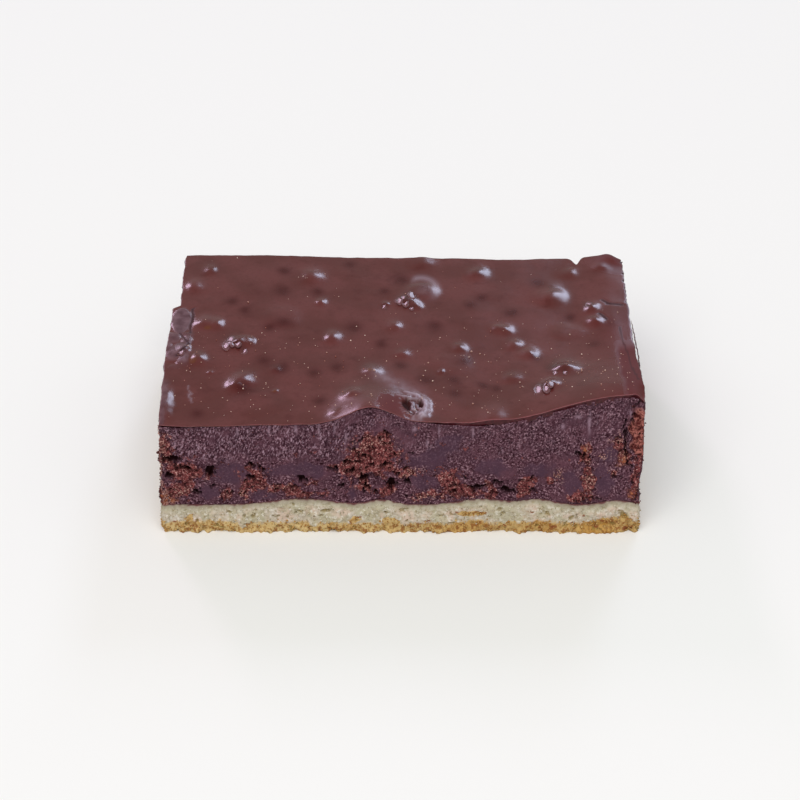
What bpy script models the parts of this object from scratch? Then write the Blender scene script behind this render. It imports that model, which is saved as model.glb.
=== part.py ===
"""A slice of chocolate crumb cake in three layers: shortcrust base, crumb filling and chocolate glaze.

Units are metres. The slice rests on z = 0, with its longer side along X and its cut front at -Y.
Each layer is a block divided into a grid, whose points are then placed by the same few functions of
the plan, so the surfaces of neighbouring layers follow each other and keep a small gap.
"""

import math

import bmesh
import bpy

MM = 0.001

WIDTH = 99.5 * MM  # the longer side of the slice
DEPTH = 70.5 * MM  # the shorter side of the slice
BASE_HEIGHT = 6.9 * MM  # the shortcrust where it is thinnest
FILLING_TOP = 24.4 * MM  # the filling's top over the flat part of the slice
GLAZE_THICKNESS = 1.1 * MM
GAP = 0.3 * MM  # kept between two layers that touch

COLUMNS = 32  # grid cells along X
ROWS = 22  # grid cells along Y
EDGE_FADE = 5  # how quickly the shape of an edge dies away towards the middle

# Along the front the filling swells over a chunk of sponge, and rises to the right-hand corner.
TILT = 0.012  # slope of the whole top, up to the right
CHUNK_X = -6.5 * MM
CHUNK_REACH_LEFT = 6.5 * MM
CHUNK_REACH_RIGHT = 6.9 * MM
CHUNK_RISE = 2.4 * MM
CHUNK_LEAN = 2.8 * MM
CHUNK_LENGTH = 12 * MM  # how far back from the front the chunk is felt
CORNER_START = 15 * MM
CORNER_END = 48.5 * MM
CORNER_RISE = 4.2 * MM
CORNER_LEAN = 3.7 * MM
SHOULDER_START = 45.5 * MM
SHOULDER_DROP = 2.0 * MM
SHOULDER_REACH = 9 * MM
RISE_REACH = 21 * MM  # how far back from the front the rise is felt
RIM_RISE = 0.8 * MM  # the right-hand edge stands a little proud all along
BACK_LEFT_RISE = 0.5 * MM  # and so does the back left corner

LEFT_STEP_Y = 12 * MM  # the left edge steps in behind this line
LEFT_STEP = 1.6 * MM
RIGHT_INSET = 0.6 * MM
BACK_SLANT = 0.7 * MM  # the back is cut a little shorter on the right
BACK_DIP_X = 24 * MM
BACK_DIP = 0.8 * MM
BACK_CORNER_CUT = 1.6 * MM
CORNER_PULL = 0.3 * MM

# Swells in the top of the shortcrust: place along X, reach and height, in millimetres.
BASE_SWELLS = ((-21, 7.5, 1.0), (-5, 3.2, 0.9), (22, 10, 1.3), (48, 8, 1.0))

# Lumps of crumb under the glaze: place along X and Y, reach and height, in millimetres.
LUMPS = (
    (2.0, -29.3, 4.0, 2.0),
    (0.8, 16.8, 3.2, 1.3),
    (-34.4, -1.0, 3.4, 1.2),
    (-42.0, 5.3, 2.6, 0.9),
    (-41.9, -8.0, 2.4, 0.7),
    (-34.0, -18.0, 3.6, 0.9),
    (-14.2, -0.2, 2.2, 0.7),
    (-5.4, -13.2, 2.8, 0.9),
    (-14.0, -25.6, 3.4, 0.8),
    (13.1, -4.3, 2.4, 0.6),
    (22.9, 3.2, 2.4, 0.8),
    (26.2, -5.1, 2.4, 0.7),
    (35.0, -13.2, 2.2, 0.8),
    (29.8, -20.3, 2.2, 0.9),
    (34.7, 17.3, 4.0, 0.9),
    (43.0, 10.5, 3.4, 1.0),
    (18.8, 28.3, 3.0, 0.8),
    (-19.0, 27.0, 3.4, 0.6),
    (40.2, 29.2, 3.0, 0.7),
    (44.0, 33.5, 3.4, 1.0),
    (18.5, -34.0, 3.5, 1.2),
    (4.5, 33.0, 3.0, 0.6),
)


def bell(distance, reach):
    """1 in the middle, falling off as a bell curve whose half width is reach."""
    return math.exp(-((distance / reach) ** 2))


def ramp(value, start, end):
    """0 before start and 1 after end, with a smooth rise between them."""
    t = min(max((value - start) / (end - start), 0.0), 1.0)
    return t * t * (3 - 2 * t)


def near_front(y):
    return bell(y + DEPTH / 2, RISE_REACH)


def chunk_rise(x):
    """The share of the rise over the chunk that is reached at x: it falls off a little faster on the left."""
    return bell(x - CHUNK_X, CHUNK_REACH_LEFT if x < CHUNK_X else CHUNK_REACH_RIGHT)


def corner_rise(x):
    """The share of the rise at the front right corner that is reached at x."""
    return ramp(x, CORNER_START, CORNER_END)


def base_top(x, y):
    """Height of the shortcrust: long swells along X that wander a little with Y."""
    drift = 3 * MM * math.sin(y / (11 * MM))
    swells = sum(height * bell((x + drift) / MM - middle, reach) for middle, reach, height in BASE_SWELLS)
    return BASE_HEIGHT + swells * MM


def filling_top(x, y):
    """Height of the filling: flat, but raised over the chunk and at the front right corner."""
    over = min(max((x - SHOULDER_START) / (WIDTH / 2 - SHOULDER_START), 0.0), 1.0)
    shoulder = SHOULDER_DROP * over**2 * bell(y + DEPTH / 2, SHOULDER_REACH)
    chunk = CHUNK_RISE * chunk_rise(x) * bell(y + DEPTH / 2, CHUNK_LENGTH)
    rim = RIM_RISE * ramp(x, 0.36 * WIDTH, 0.47 * WIDTH)
    rim += BACK_LEFT_RISE * ramp(-x, 0.15 * WIDTH, 0.35 * WIDTH)
    tilt = TILT * (x + WIDTH / 2)
    front = (tilt + CORNER_RISE * corner_rise(x)) * near_front(y) + chunk
    return FILLING_TOP + front + rim * (1 - near_front(y)) - shoulder


def glaze_top(x, y):
    """Height of the glaze: it covers the filling evenly and rounds over each lump."""
    lumps = sum(
        height * bell(math.hypot(x / MM - across, y / MM - along), reach)
        for across, along, reach, height in LUMPS
    )
    return filling_top(x, y) + GAP + GLAZE_THICKNESS + lumps * MM


def front_inset(x, z):
    """How far the cut front leans back at height z."""
    lean = CHUNK_LEAN * chunk_rise(x) + CORNER_LEAN * corner_rise(x)
    climb = ramp(z, BASE_HEIGHT, FILLING_TOP + GLAZE_THICKNESS)
    ripple = 0.25 * MM * (1 + math.sin(x / (5 * MM)))
    return lean * climb + ripple * climb


def back_inset(x, z):
    slant = BACK_SLANT * ramp(x, -0.3 * WIDTH, 0.1 * WIDTH)
    dip = BACK_DIP * bell(x - BACK_DIP_X, 8 * MM)
    corner = BACK_CORNER_CUT * ramp(x, 0.46 * WIDTH, WIDTH / 2)
    ripple = 0.1 * MM * (1 + math.sin(x / (7 * MM) + 1))
    return (dip + corner) * ramp(z, 0, FILLING_TOP) + slant + ripple


def left_inset(y, z):
    step = LEFT_STEP * ramp(y, LEFT_STEP_Y - 2 * MM, LEFT_STEP_Y + 2 * MM)
    ripple = 0.15 * MM * (1 + math.sin(y / (6 * MM)))
    return step * ramp(z, BASE_HEIGHT, 0.6 * FILLING_TOP) + ripple


def right_inset(y, z):
    """The right side stands out only round the chunk at the top of the front corner."""
    chunk = near_front(y) * ramp(z, 0.45 * FILLING_TOP, 0.7 * FILLING_TOP)
    return RIGHT_INSET * (1 - chunk)


def place(u, v, z):
    """Plan position of a point at -1 to 1 across (u) and -1 to 1 from front to back (v)."""
    x = u * (WIDTH / 2 - CORNER_PULL * v**16)
    y = v * (DEPTH / 2 - CORNER_PULL * u**16)
    x += left_inset(y, z) * ((1 - u) / 2) ** EDGE_FADE
    x -= right_inset(y, z) * ((1 + u) / 2) ** EDGE_FADE
    y += front_inset(x, z) * ((1 - v) / 2) ** EDGE_FADE
    y -= back_inset(x, z) * ((1 + v) / 2) ** EDGE_FADE
    return x, y


def divided_block(levels):
    """A unit cube divided into the plan grid, with the given number of cells in height."""
    mesh = bmesh.new()
    bmesh.ops.create_cube(mesh, size=2)
    for axis, cells in enumerate((COLUMNS, ROWS, levels)):
        along = [
            edge
            for edge in mesh.edges
            if abs(edge.verts[0].co[axis] - edge.verts[1].co[axis]) > 1
        ]
        if cells > 1:
            bmesh.ops.subdivide_edges(mesh, edges=along, cuts=cells - 1, use_grid_fill=True)
    return mesh


def layer(name, lower, upper, levels, swell, collection, material):
    """One layer between two height functions, whose sides swell out by up to swell at mid height."""
    block = divided_block(levels)
    for vertex in block.verts:
        u, v, w = vertex.co
        plan_x = u * WIDTH / 2
        plan_y = v * DEPTH / 2
        share = (w + 1) / 2
        z = lower(plan_x, plan_y) * (1 - share) + upper(plan_x, plan_y) * share
        x, y = place(u, v, z)
        pull = swell * (w * w)
        x -= pull * u**9
        y -= pull * v**9
        vertex.co = (x, y, z)
    underside = [face for face in block.faces if all(vertex.co.z == 0 for vertex in face.verts)]
    if underside:
        bmesh.ops.dissolve_faces(block, faces=underside)
    bmesh.ops.recalc_face_normals(block, faces=block.faces)
    mesh = bpy.data.meshes.new(name)
    block.to_mesh(mesh)
    block.free()
    mesh.shade_smooth()
    mesh.set_sharp_from_angle(angle=math.radians(40))
    mesh.materials.append(material)
    solid = bpy.data.objects.new(name, mesh)
    collection.objects.link(solid)
    return solid


def food_material(name, colour, roughness):
    material = bpy.data.materials.new(name)
    material.use_nodes = True
    shader = material.node_tree.nodes["Principled BSDF"]
    shader.inputs["Base Color"].default_value = (*colour, 1)
    shader.inputs["Roughness"].default_value = roughness
    shader.inputs["Metallic"].default_value = 0
    return material


def shortcrust_base(collection):
    """The baked base: flat underneath, its top wavy where the filling has pressed on it."""
    pastry = food_material("shortcrust", (0.42, 0.33, 0.22), 0.85)
    return layer("shortcrust_base", lambda x, y: 0.0, base_top, 2, 0.25 * MM, collection, pastry)


def crumb_filling(collection):
    """The dark filling of chocolate cream and crumbs, which takes most of the height."""
    filling = food_material("crumb_filling", (0.09, 0.035, 0.04), 0.75)
    return layer(
        "crumb_filling", lambda x, y: base_top(x, y) + GAP, filling_top, 5, 0.2 * MM, collection, filling
    )


def chocolate_glaze(collection):
    """The thin glaze, rounded along its edges and lumpy over the crumbs below it."""
    glaze = food_material("chocolate_glaze", (0.13, 0.05, 0.045), 0.25)
    return layer(
        "chocolate_glaze", lambda x, y: filling_top(x, y) + GAP, glaze_top, 2, 0.4 * MM, collection, glaze
    )


def main():
    for old in list(bpy.data.objects):
        bpy.data.objects.remove(old, do_unlink=True)
    cake = bpy.data.collections.new("chocolate_crumb_cake")
    bpy.context.scene.collection.children.link(cake)
    shortcrust_base(cake)
    crumb_filling(cake)
    chocolate_glaze(cake)


main()
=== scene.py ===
"""The looks of a slice of chocolate crumb cake, made around its packed layers.

Each layer is a closed surface worked out with numpy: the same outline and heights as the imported
solid, with the relief of crumbs, pores, knife smears and lumps added. Shapes are worked out in
millimetres and turned into metres as a mesh is made. The front of the slice is at -Y.
"""

import math

import bpy
import numpy as np
from mathutils import Matrix, Vector


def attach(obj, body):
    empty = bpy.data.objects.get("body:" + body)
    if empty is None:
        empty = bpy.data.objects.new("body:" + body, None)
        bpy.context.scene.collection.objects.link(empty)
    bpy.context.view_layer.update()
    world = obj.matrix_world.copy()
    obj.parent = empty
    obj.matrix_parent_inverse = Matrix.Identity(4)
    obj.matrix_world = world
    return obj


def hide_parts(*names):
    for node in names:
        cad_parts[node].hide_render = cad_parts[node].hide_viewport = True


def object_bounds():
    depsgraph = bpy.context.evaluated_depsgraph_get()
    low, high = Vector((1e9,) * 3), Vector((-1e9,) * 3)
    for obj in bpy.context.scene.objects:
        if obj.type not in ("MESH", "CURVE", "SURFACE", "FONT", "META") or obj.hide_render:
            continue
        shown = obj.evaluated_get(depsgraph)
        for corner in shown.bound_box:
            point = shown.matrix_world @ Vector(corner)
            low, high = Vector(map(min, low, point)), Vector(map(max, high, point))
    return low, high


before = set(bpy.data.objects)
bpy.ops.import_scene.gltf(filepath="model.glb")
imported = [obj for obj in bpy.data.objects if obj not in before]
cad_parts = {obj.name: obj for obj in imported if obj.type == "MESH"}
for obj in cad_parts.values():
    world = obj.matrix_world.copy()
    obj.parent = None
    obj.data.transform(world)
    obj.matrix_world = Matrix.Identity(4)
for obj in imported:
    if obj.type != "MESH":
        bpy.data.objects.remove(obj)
cad_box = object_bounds()

MM = 0.001
BODY = "root"

# ---------------------------------------------------------------- sizes, in millimetres
SPAN = (cad_box[1] - cad_box[0]) / MM
WIDTH, DEPTH = SPAN.x, SPAN.y
RIGHT, FRONT = WIDTH / 2, -DEPTH / 2
BASE_HEIGHT = 6.7
FILLING_TOP = 24.4
GLAZE_THICKNESS = 1.1
GAP = 0.3
EDGE_FADE = 5
CORNER_RADIUS, CORNER_CELLS = 0.6, 10

TILT = 0.012
CHUNK_X, CHUNK_REACH_LEFT, CHUNK_REACH_RIGHT = -6.5, 6.5, 6.9
CHUNK_RISE, CHUNK_LEAN, CHUNK_LENGTH = 2.4, 2.8, 12
CORNER_START, CORNER_END, CORNER_RISE, CORNER_LEAN = 15, 48.5, 4.2, 3.7
SHOULDER_START, SHOULDER_DROP, SHOULDER_REACH = 47.2, 2.2, 7
RISE_REACH = 21
RIM_RISE, BACK_LEFT_RISE = 0.8, 0.5
LEFT_STEP_Y, LEFT_STEP = 12, 1.6
RIGHT_INSET = 0.6
BACK_SLANT, BACK_DIP_X, BACK_DIP = 0.7, 24, 0.8
BACK_CORNER_CUT = 1.6
NOTCH_X = 39.4

BASE_ROWS, BASE_STEPS = 44, (0.2, 0.45)
FILLING_ROWS, FILLING_STEPS = 92, (0.18, 0.55)
GLAZE_COLUMNS, GLAZE_ROWS, GLAZE_EDGE_RADIUS = 321, 241, 0.16

# The camera's angle above the floor and where it looks, in metres from the frame's origin.
CAMERA_ELEVATION, CAMERA_DISTANCE, CAMERA_AIM = 32, 0.6172, (-0.00028, 0, 0.0129)
LENS_LENGTH, LENS_SHIFT = 128.5, -0.0141
LAMP_DISTANCE = 3.0
FLOOR_REACH = 2.0

# Swells in the top of the shortcrust: place along X, reach and height.
BASE_SWELLS = ((-20.5, 8, 1.5), (-4, 3.6, 1.2), (17, 6.5, 1.4), (28.5, 4.5, 1.3), (45, 4, 1))

# Lumps of crumb under the glaze: place along X and Y, reach and height.
LUMPS = (
    (0.8, 15.3, 2.1, 0.71), (2.9, 13.2, 1.4, 0.48), (-3.6, 14.4, 0.8, 0.3), (-35.6, -3.6, 2, 0.71),
    (-42.8, 5, 1.8, 0.63), (-39.8, 4.4, 1.6, 0.6), (-43, -9.6, 1.9, 0.71), (-46.2, -6.4, 1.4, 0.54),
    (-40.1, -14.8, 0.6, 0.25), (-34.6, -20.4, 1.9, 0.74), (-32.6, -17.8, 2, 0.63),
    (-26.2, -22.3, 0.6, 0.21), (-14.8, -0.4, 1.6, 0.62), (-6.3, -15.2, 2, 0.68),
    (-10.4, -25.6, 1.8, 0.56), (-13.6, -32.2, 1.1, 0.2), (12.4, -5, 1.5, 0.48), (20.8, 3.2, 1.4, 0.48),
    (22.8, 2.6, 1.4, 0.48), (24, -3.6, 1.5, 0.48), (27, -7.6, 1.7, 0.55), (34.4, -15.9, 2.4, 1.1),
    (29.6, -24.4, 1.3, 0.5), (31, -23.2, 1.7, 0.8), (23.2, -18, 1.8, 0.43), (33, 16.8, 2.8, 0.87),
    (41.6, 11.2, 1.6, 0.62), (42, 5.6, 1.6, 0.62), (17, 27.4, 2.2, 0.63), (-20.2, 25.8, 2.4, 0.63),
    (-17.6, 14.6, 1.2, 0.43), (-46.9, 20.6, 2, 0.55), (-43.6, 28, 1.6, 0.43), (37.6, 27.6, 1.9, 0.43),
    (46.8, 33.6, 1.8, 0.7), (18.5, -34, 3.5, 0.79), (4.5, 33, 2.6, 0.48), (-1.6, 4.6, 1.5, 0.39),
    (0.2, -7.2, 1.4, 0.34), (44.8, 29.6, 1.5, 0.43), (8, -14.6, 0.7, 0.26), (-26.6, -13.6, 1.2, 0.21),
)

# Flat blisters in the glaze: place along X and Y, reach and height.
BLISTERS = (
    (4.6, 19.4, 3.6, 0.52), (-33.2, -2.7, 2, 0.6), (-26, 8, 4, 0.2), (10.5, -11, 4.2, 0.2),
    (-30, -27, 5, 0.2), (36, 2, 3.6, 0.25),
)

# Soft dark spots in the glaze: place along X and Y, and reach.
DARK_SPOTS = (
    (0, 25.4, 1.9), (17.7, 17, 1.6), (-3.6, 20, 1.3), (15.1, 13.8, 1.4), (7.2, 4.7, 2),
    (-10.2, 4.2, 1.8), (13.6, -10, 1.6), (10.9, -17.8, 1.6), (5, -17.7, 1.6), (11.3, -23.5, 1.5),
    (-0.2, -11.8, 1.4), (-13.5, -12.4, 1.6), (-11.7, 31.9, 1.3), (16.8, -20.3, 1.2), (-25.4, 5.8, 1.7),
    (-28.4, 3.6, 1.5), (-26.8, 19.4, 1.9), (-18.6, 19.4, 1.5), (-25.2, -13.2, 1.8), (-32.8, -21.8, 2.2),
    (-42.1, -30.5, 1.4), (-29, -10, 1.5), (18.6, 28.6, 1.4), (41.5, -4.6, 1.5), (28.6, -9, 1.4),
    (45.6, 4.5, 1.3), (-26.3, 28.1, 1.6), (-38, 14.6, 1.5), (-34.2, 11.2, 1.4), (19.4, -21.5, 1.3),
    (-18.2, -14.8, 1.5), (-16.8, -26.4, 1.6), (30.2, 24, 1.7), (24, 10.5, 1.5), (-4.5, -3, 1.4),
    (36.8, 8.5, 1.5), (32, -14.8, 1.9),
)

# Leaning beads of glaze on clusters of crumb: place along X and Y, reach, and fall towards +X.
BEADS = (
    (-0.3, 14.9, 0.62, -0.36), (1, 13.9, 0.6, -0.36), (2.2, 17, 0.75, 0.28), (0.5, 15.9, 0.4, -0.36),
    (2.3, 12.2, 0.4, -0.36), (-3.8, 13.1, 0.5, -0.36), (-37.1, -4.6, 0.66, -0.36),
    (-36.2, -2.3, 0.62, -0.36), (-35.8, -4.4, 0.45, 0.28), (-34.6, -4.3, 0.55, -0.36),
    (-33.2, -6.3, 0.5, -0.36), (28.4, -24.2, 0.85, -0.44), (29.9, -24.9, 0.6, -0.44),
    (30.8, -23.6, 0.5, 0.21), (32.1, -17.3, 0.4, -0.44), (34.1, -17.9, 0.35, -0.44),
    (-46.4, -7.4, 0.5, -0.36), (40.8, 12.5, 0.6, -0.46),
)

# Ovals of the glaze's top: place along X and Y, and reach along each. Spots where a crumb shows:
BARE_SPOTS = (
    (-6.6, -15.2, 1.2, 0.8), (-44, -10.4, 0.8, 1.2), (-41.6, 3, 1, 0.8), (-26.4, -22.4, 0.5, 0.5),
)
# and the loose flake at the left edge, the mound and the slope to its left, the corner at the back
# and the mauve blister.
FLAKE = (-47.6, 6.2, 2.1, 5.3)
MOUND = (-2, -31.5, 3, 5.5)
MOUND_SLOPE = (-10.8, -31, 3.8, 3.4)
BACK_CORNER = (48, 34, 4.5, 5)
MAUVE_BLISTER = (5.2, 20.5, 1.6, 3.2)

# Lines on the glaze's top, each from one place along X and Y to another, with its width.
SEAMS = (
    ((-45.4, 11.5), (-45.3, 1), 0.36), ((-47.6, 0.8), (-45, -3.6), 0.3),
    ((-45, -3.6), (-47.4, -8.6), 0.3), ((44.2, 14.9), (45.4, 13.2), 0.5),
    ((45.4, 13.2), (48.4, 12.8), 0.42), ((43.4, 9), (44.6, 6.4), 0.42),
)
FOLDS = (((47.4, 3), (48, -12), 0.26), ((48, -12), (49, -26), 0.26))
SCRATCH = ((-44.4, -20), (-43.4, -26.4), 0.22)
FILM = ((-5, -16.5), (2.4, -23.2), 2)
STREAK = ((-15.4, -32.2), (-11.6, -31.4), 0.75)

# The burst bubble near the front edge: its middle, the two holes in it by their place from there
# and reach, and the ridges across it by their ends and width.
CRATER = (2.5, -29.6)
CRATER_HOLES = ((-1.5, 0.6, 0.95), (1.5, 1.4, 0.55))
CRATER_RIDGES = (
    ((2.3, -27.4), (2.5, -30.6), 0.3), ((2.5, -30.6), (4.8, -33.4), 0.36),
    ((-0.6, -25.8), (3, -26.4), 0.3), ((1, -23.6), (3.4, -24.9), 0.35),
    ((3.2, -28.2), (4.2, -31.4), 0.22),
)

# The curled sliver of glaze along the right edge.
SLIVER_START, SLIVER_END = (49.5, 6, 26.4), (49.6, -26, 27.6)
SLIVER_BOW, SLIVER_RADIUS = 0.35, 0.16

# Patches of the filling's cut front: place along X and Z, and reach along each.
# Red-brown sponge:
CRUMB_PATCHES = (
    (-44.2, 14.8, 4.6, 2.6), (-45.3, 10.1, 3.4, 2), (-48.9, 20.8, 1.8, 3.6), (-30, 13.2, 2.4, 3.2),
    (-32.8, 9.6, 0.9, 1.4), (-35.9, 9.2, 1.4, 1.3), (-24.2, 10.9, 2.7, 0.9), (-18.5, 12.8, 1.6, 1),
    (-20, 9.4, 5, 1.2), (-5.8, 18.6, 5.8, 4.2), (-9.4, 15.4, 4.4, 1.8), (-7.6, 11.4, 1.7, 1.7),
    (-3, 9.6, 2.2, 1.1), (1.2, 14.3, 2.3, 0.8), (5, 8.7, 2.9, 1.2), (10, 13, 3, 2.6),
    (12.6, 9.8, 3.6, 1.6), (18.8, 10, 1.6, 1.9), (25.2, 10.8, 2.4, 2.2), (26.6, 12.6, 1.3, 0.7),
    (30.8, 12.6, 1.4, 0.8), (35.9, 8.5, 1.9, 1), (38.3, 12.8, 1.5, 4), (38, 18.4, 1.2, 1.8),
    (44.2, 19.6, 1.2, 1.6), (45.8, 17.4, 1.3, 1.9), (43.4, 14, 0.9, 1), (48.6, 12, 1.2, 6),
)
# Smooth cream:
CREAM_PATCHES = (
    (-35.2, 14.6, 3.4, 2.5), (-45, 12.6, 1.3, 0.6), (-39.8, 9.8, 2.3, 1.9), (-28.4, 8.8, 3.6, 0.9),
    (-22.6, 15.2, 5, 1.7), (-17.6, 14.9, 1.8, 1), (-10.1, 8.6, 1.3, 1), (5.4, 17.2, 4.6, 2),
    (4.9, 12.1, 3.2, 1.6), (18.4, 15.6, 4, 2.2), (28, 14.8, 2.6, 1.5), (35, 12, 1.9, 2.4),
    (41.6, 12.4, 2.2, 3.4), (9.6, 21.4, 3, 2), (42.8, 18, 1.4, 1.6),
)
# Scattered crumbs paler than the rest:
PALE_PATCHES = (
    (0.2, 13.6, 0.9, 0.6), (2.2, 14.6, 1.6, 0.6), (4.8, 8.7, 2.7, 1.1), (38.3, 12.4, 1.1, 3.8),
    (38.6, 18.9, 0.5, 0.9), (45.8, 17.2, 1.1, 1.6), (44.2, 20.4, 1.1, 1.2), (41.4, 17.6, 1.6, 0.6),
    (24.2, 11.9, 1, 0.5), (-32.8, 9.6, 0.8, 1.3), (-24.2, 10.8, 2.2, 0.6), (-48.2, 8.2, 1.3, 1.7),
    (-45.3, 10.2, 2.4, 1), (-48.9, 20.4, 1.1, 4), (-49, 10, 0.8, 4), (-9.4, 19, 1.6, 0.6),
    (-5.4, 20.6, 3.6, 1.1), (32.4, 13.6, 0.8, 1.4), (43.6, 13.9, 0.8, 0.7),
)
# Amber crumbs:
AMBER_PATCHES = (
    (-48.4, 8.3, 1.6, 1.5), (48, 8.6, 0.9, 1.4), (37.9, 18.4, 0.6, 0.9), (45.6, 16.6, 1, 1),
)
# Pits, painted nearly black as painted shade:
PITS = (
    (-47.2, 17.7, 1.6, 0.7), (-49.2, 18.8, 0.8, 0.6), (-45.2, 15.6, 0.9, 0.4), (-47.8, 13.6, 0.7, 0.7),
    (-43.8, 15.7, 0.7, 0.4), (-39.2, 15, 1, 0.9), (-31, 16.4, 0.8, 0.5), (-31.2, 13.4, 0.8, 0.6),
    (-28.7, 15.5, 0.6, 0.3), (-42.2, 9.7, 1, 0.7), (-38.6, 11.2, 0.3, 0.3), (-35.6, 10, 0.6, 0.3),
    (-26, 11.4, 1.1, 0.2), (-22.3, 11.1, 1.1, 0.3), (-20.3, 12.7, 0.7, 0.6), (-14.2, 15.4, 1.1, 0.5),
    (-11.8, 16.9, 0.5, 0.4), (-10, 14.7, 0.6, 0.5), (-12.4, 11, 0.8, 0.7), (-7.8, 12.6, 0.8, 0.6),
    (-7.2, 10.8, 0.5, 1), (-3.1, 15.8, 0.6, 0.6), (-2.1, 11.6, 1.1, 0.8), (1.5, 12.1, 0.4, 0.7),
    (2, 18.9, 0.4, 0.3), (-5.4, 9.4, 0.5, 0.5), (0.9, 8.4, 0.3, 0.4), (10.4, 10.2, 0.6, 0.4),
    (13.2, 13, 0.3, 0.3), (15.6, 11.1, 1.5, 0.7), (19.4, 12, 0.9, 0.4), (22, 10.1, 1.6, 0.6),
    (27, 9.8, 0.4, 0.5), (36.6, 17.7, 0.9, 0.7), (39.4, 8.2, 2.2, 0.25),
)
# Tall glints of the knife's smear:
GLINTS = (
    (7.7, 24.4, 0.18, 1.4), (14.6, 24.3, 0.18, 1.4), (2.8, 24.8, 0.5, 0.7), (5.3, 21.4, 0.25, 0.7),
    (38.5, 24.4, 0.28, 2.4), (36.2, 26.2, 0.7, 0.5), (33, 24.4, 0.4, 0.6), (46.9, 26.6, 0.25, 1),
    (-33.4, 24.4, 0.2, 0.9), (-27, 24.8, 0.22, 1.2), (-21.5, 24.9, 0.26, 1.2), (-16.8, 25, 0.24, 1.4),
    (-13.6, 24.6, 0.2, 1), (-11.4, 22.4, 0.2, 1.1),
)
# The chunk of sponge at the right corner:
CHUNK = (49, 22.8, 2.4, 5.4)

# Thin cracks in the cut front, from one point along X and Z to another.
CRACK_WIDTH = 0.15
CRACKS = (
    ((-8.9, 16.6), (-8.2, 18)), ((-8.2, 18), (-6.6, 18.2)), ((-6.6, 18.2), (-6, 15.6)),
    ((-9.4, 21), (-7.2, 21.6)), ((-4.6, 21.4), (-2.4, 20.6)), ((46.1, 24.8), (45.9, 19.6)),
    ((45.9, 19.6), (46.9, 15)), ((47.6, 25.6), (47.2, 23.8)),
)

# Where the browned crust climbs the cut front: place along X, reach and height.
CRUST_TONGUES = ((-42, 7, 0.7), (-22, 8, 0.3), (16, 3, 0.7), (29, 4, 0.7), (42, 3, 1.2), (46.4, 2, 2))

# Patches of the pastry's cut front: place along X and Z, and reach along each.
# Golden pockets:
GOLD_SPOTS = (
    (-9.8, 3, 1.2, 0.9), (-3, 3.1, 0.7, 0.5), (-2, 2.5, 1.5, 0.8), (14.4, 4.6, 2.9, 0.7),
    (-43.9, 3.4, 0.9, 0.9),
)
# Olive pores:
PORES = (
    (-22, 6.7, 0.6, 0.4), (-20.8, 5.4, 0.7, 0.4), (-32.4, 4.1, 0.5, 0.5), (-30.6, 4.1, 0.6, 0.6),
    (-15.6, 5.2, 0.9, 0.5), (0.6, 5.6, 0.9, 0.25), (20.4, 5.6, 0.7, 0.5), (30.2, 4.6, 0.9, 0.7),
    (35.2, 3.4, 0.8, 0.7), (46.2, 4, 1, 0.9),
)
# Soft white lumps:
CREAM_LUMPS = ((-33.2, 2.2, 0.9, 1.1), (-18.4, 1.9, 0.7, 0.6), (40.2, 4.4, 2, 0.6))
# Small toasted spots:
TOASTED_SPOTS = (
    (-46.9, 2.7, 0.5, 0.35), (-43.4, 1.6, 0.4, 0.3), (26.8, 5.1, 0.9, 0.25), (37.8, 4, 0.3, 0.5),
    (46.8, 1, 1.3, 0.7), (-9, 3.6, 0.9, 0.25), (11.6, 5, 0.4, 0.3), (17.2, 4.9, 0.4, 0.3),
    (5.6, 2.7, 1.1, 0.25), (42, 2.6, 0.7, 0.3), (40.2, 1.5, 0.8, 0.3), (31.6, 1.3, 0.8, 0.3),
    (21.6, 1.5, 0.5, 0.3), (44.8, 2.3, 0.6, 0.5), (35.4, 2.2, 0.5, 0.3), (12.4, 1.7, 0.5, 0.3),
)


# ---------------------------------------------------------------- curves and noise
def bell(distance, reach):
    """1 in the middle, falling off as exp(-(distance / reach)^2)."""
    return np.exp(-((distance / reach) ** 2))


def ramp(value, start, end):
    """0 before start and 1 after end, with the smooth step t^2 (3 - 2t) between them."""
    t = np.clip((value - start) / (end - start), 0, 1)
    return t * t * (3 - 2 * t)


def held(value):
    """Held between 0 and 1."""
    return np.clip(value, 0, 1)


def lottery(cells, seed):
    """A number from 0 to 1 for each whole-numbered cell, the same each run: its coordinates are
    multiplied by large odd numbers and mixed by shifts."""
    mix = np.full(cells.shape[:-1], (seed * 2654435761 + 97) % 2**32, np.uint32)
    for axis, factor in enumerate((374761393, 668265263, 1274126177)):
        mix ^= cells[..., axis].astype(np.int64).astype(np.uint32) * np.uint32(factor)
        mix = (mix ^ (mix >> np.uint32(15))) * np.uint32(2246822519)
        mix ^= mix >> np.uint32(13)
    return mix / 2.0**32


def cloud(points, size, seed):
    """Gradient noise from about -1 to 1: each corner of a lattice of this size has a random slope,
    and the eight slopes round a point are blended by smooth ramps."""
    place = points / size
    cell = np.floor(place)
    part = place - cell
    blend = part**3 * (part * (6 * part - 15) + 10)
    total = np.zeros(len(points))
    for corner in np.ndindex(2, 2, 2):
        corner = np.array(corner)
        slope = np.stack([lottery(cell + corner, seed + turn) for turn in (11, 23, 37)], -1) * 2 - 1
        weight = np.prod(np.where(corner, blend, 1 - blend), axis=-1)
        total += weight * np.sum(slope * (part - corner), axis=-1)
    return 1.6 * total


def clouds(points, size, octaves, seed):
    """Noise with detail: each octave has half the size and half the strength of the one before."""
    return sum(cloud(points, size / 2**turn, seed + 7 * turn) / 2**turn for turn in range(octaves))


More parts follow.
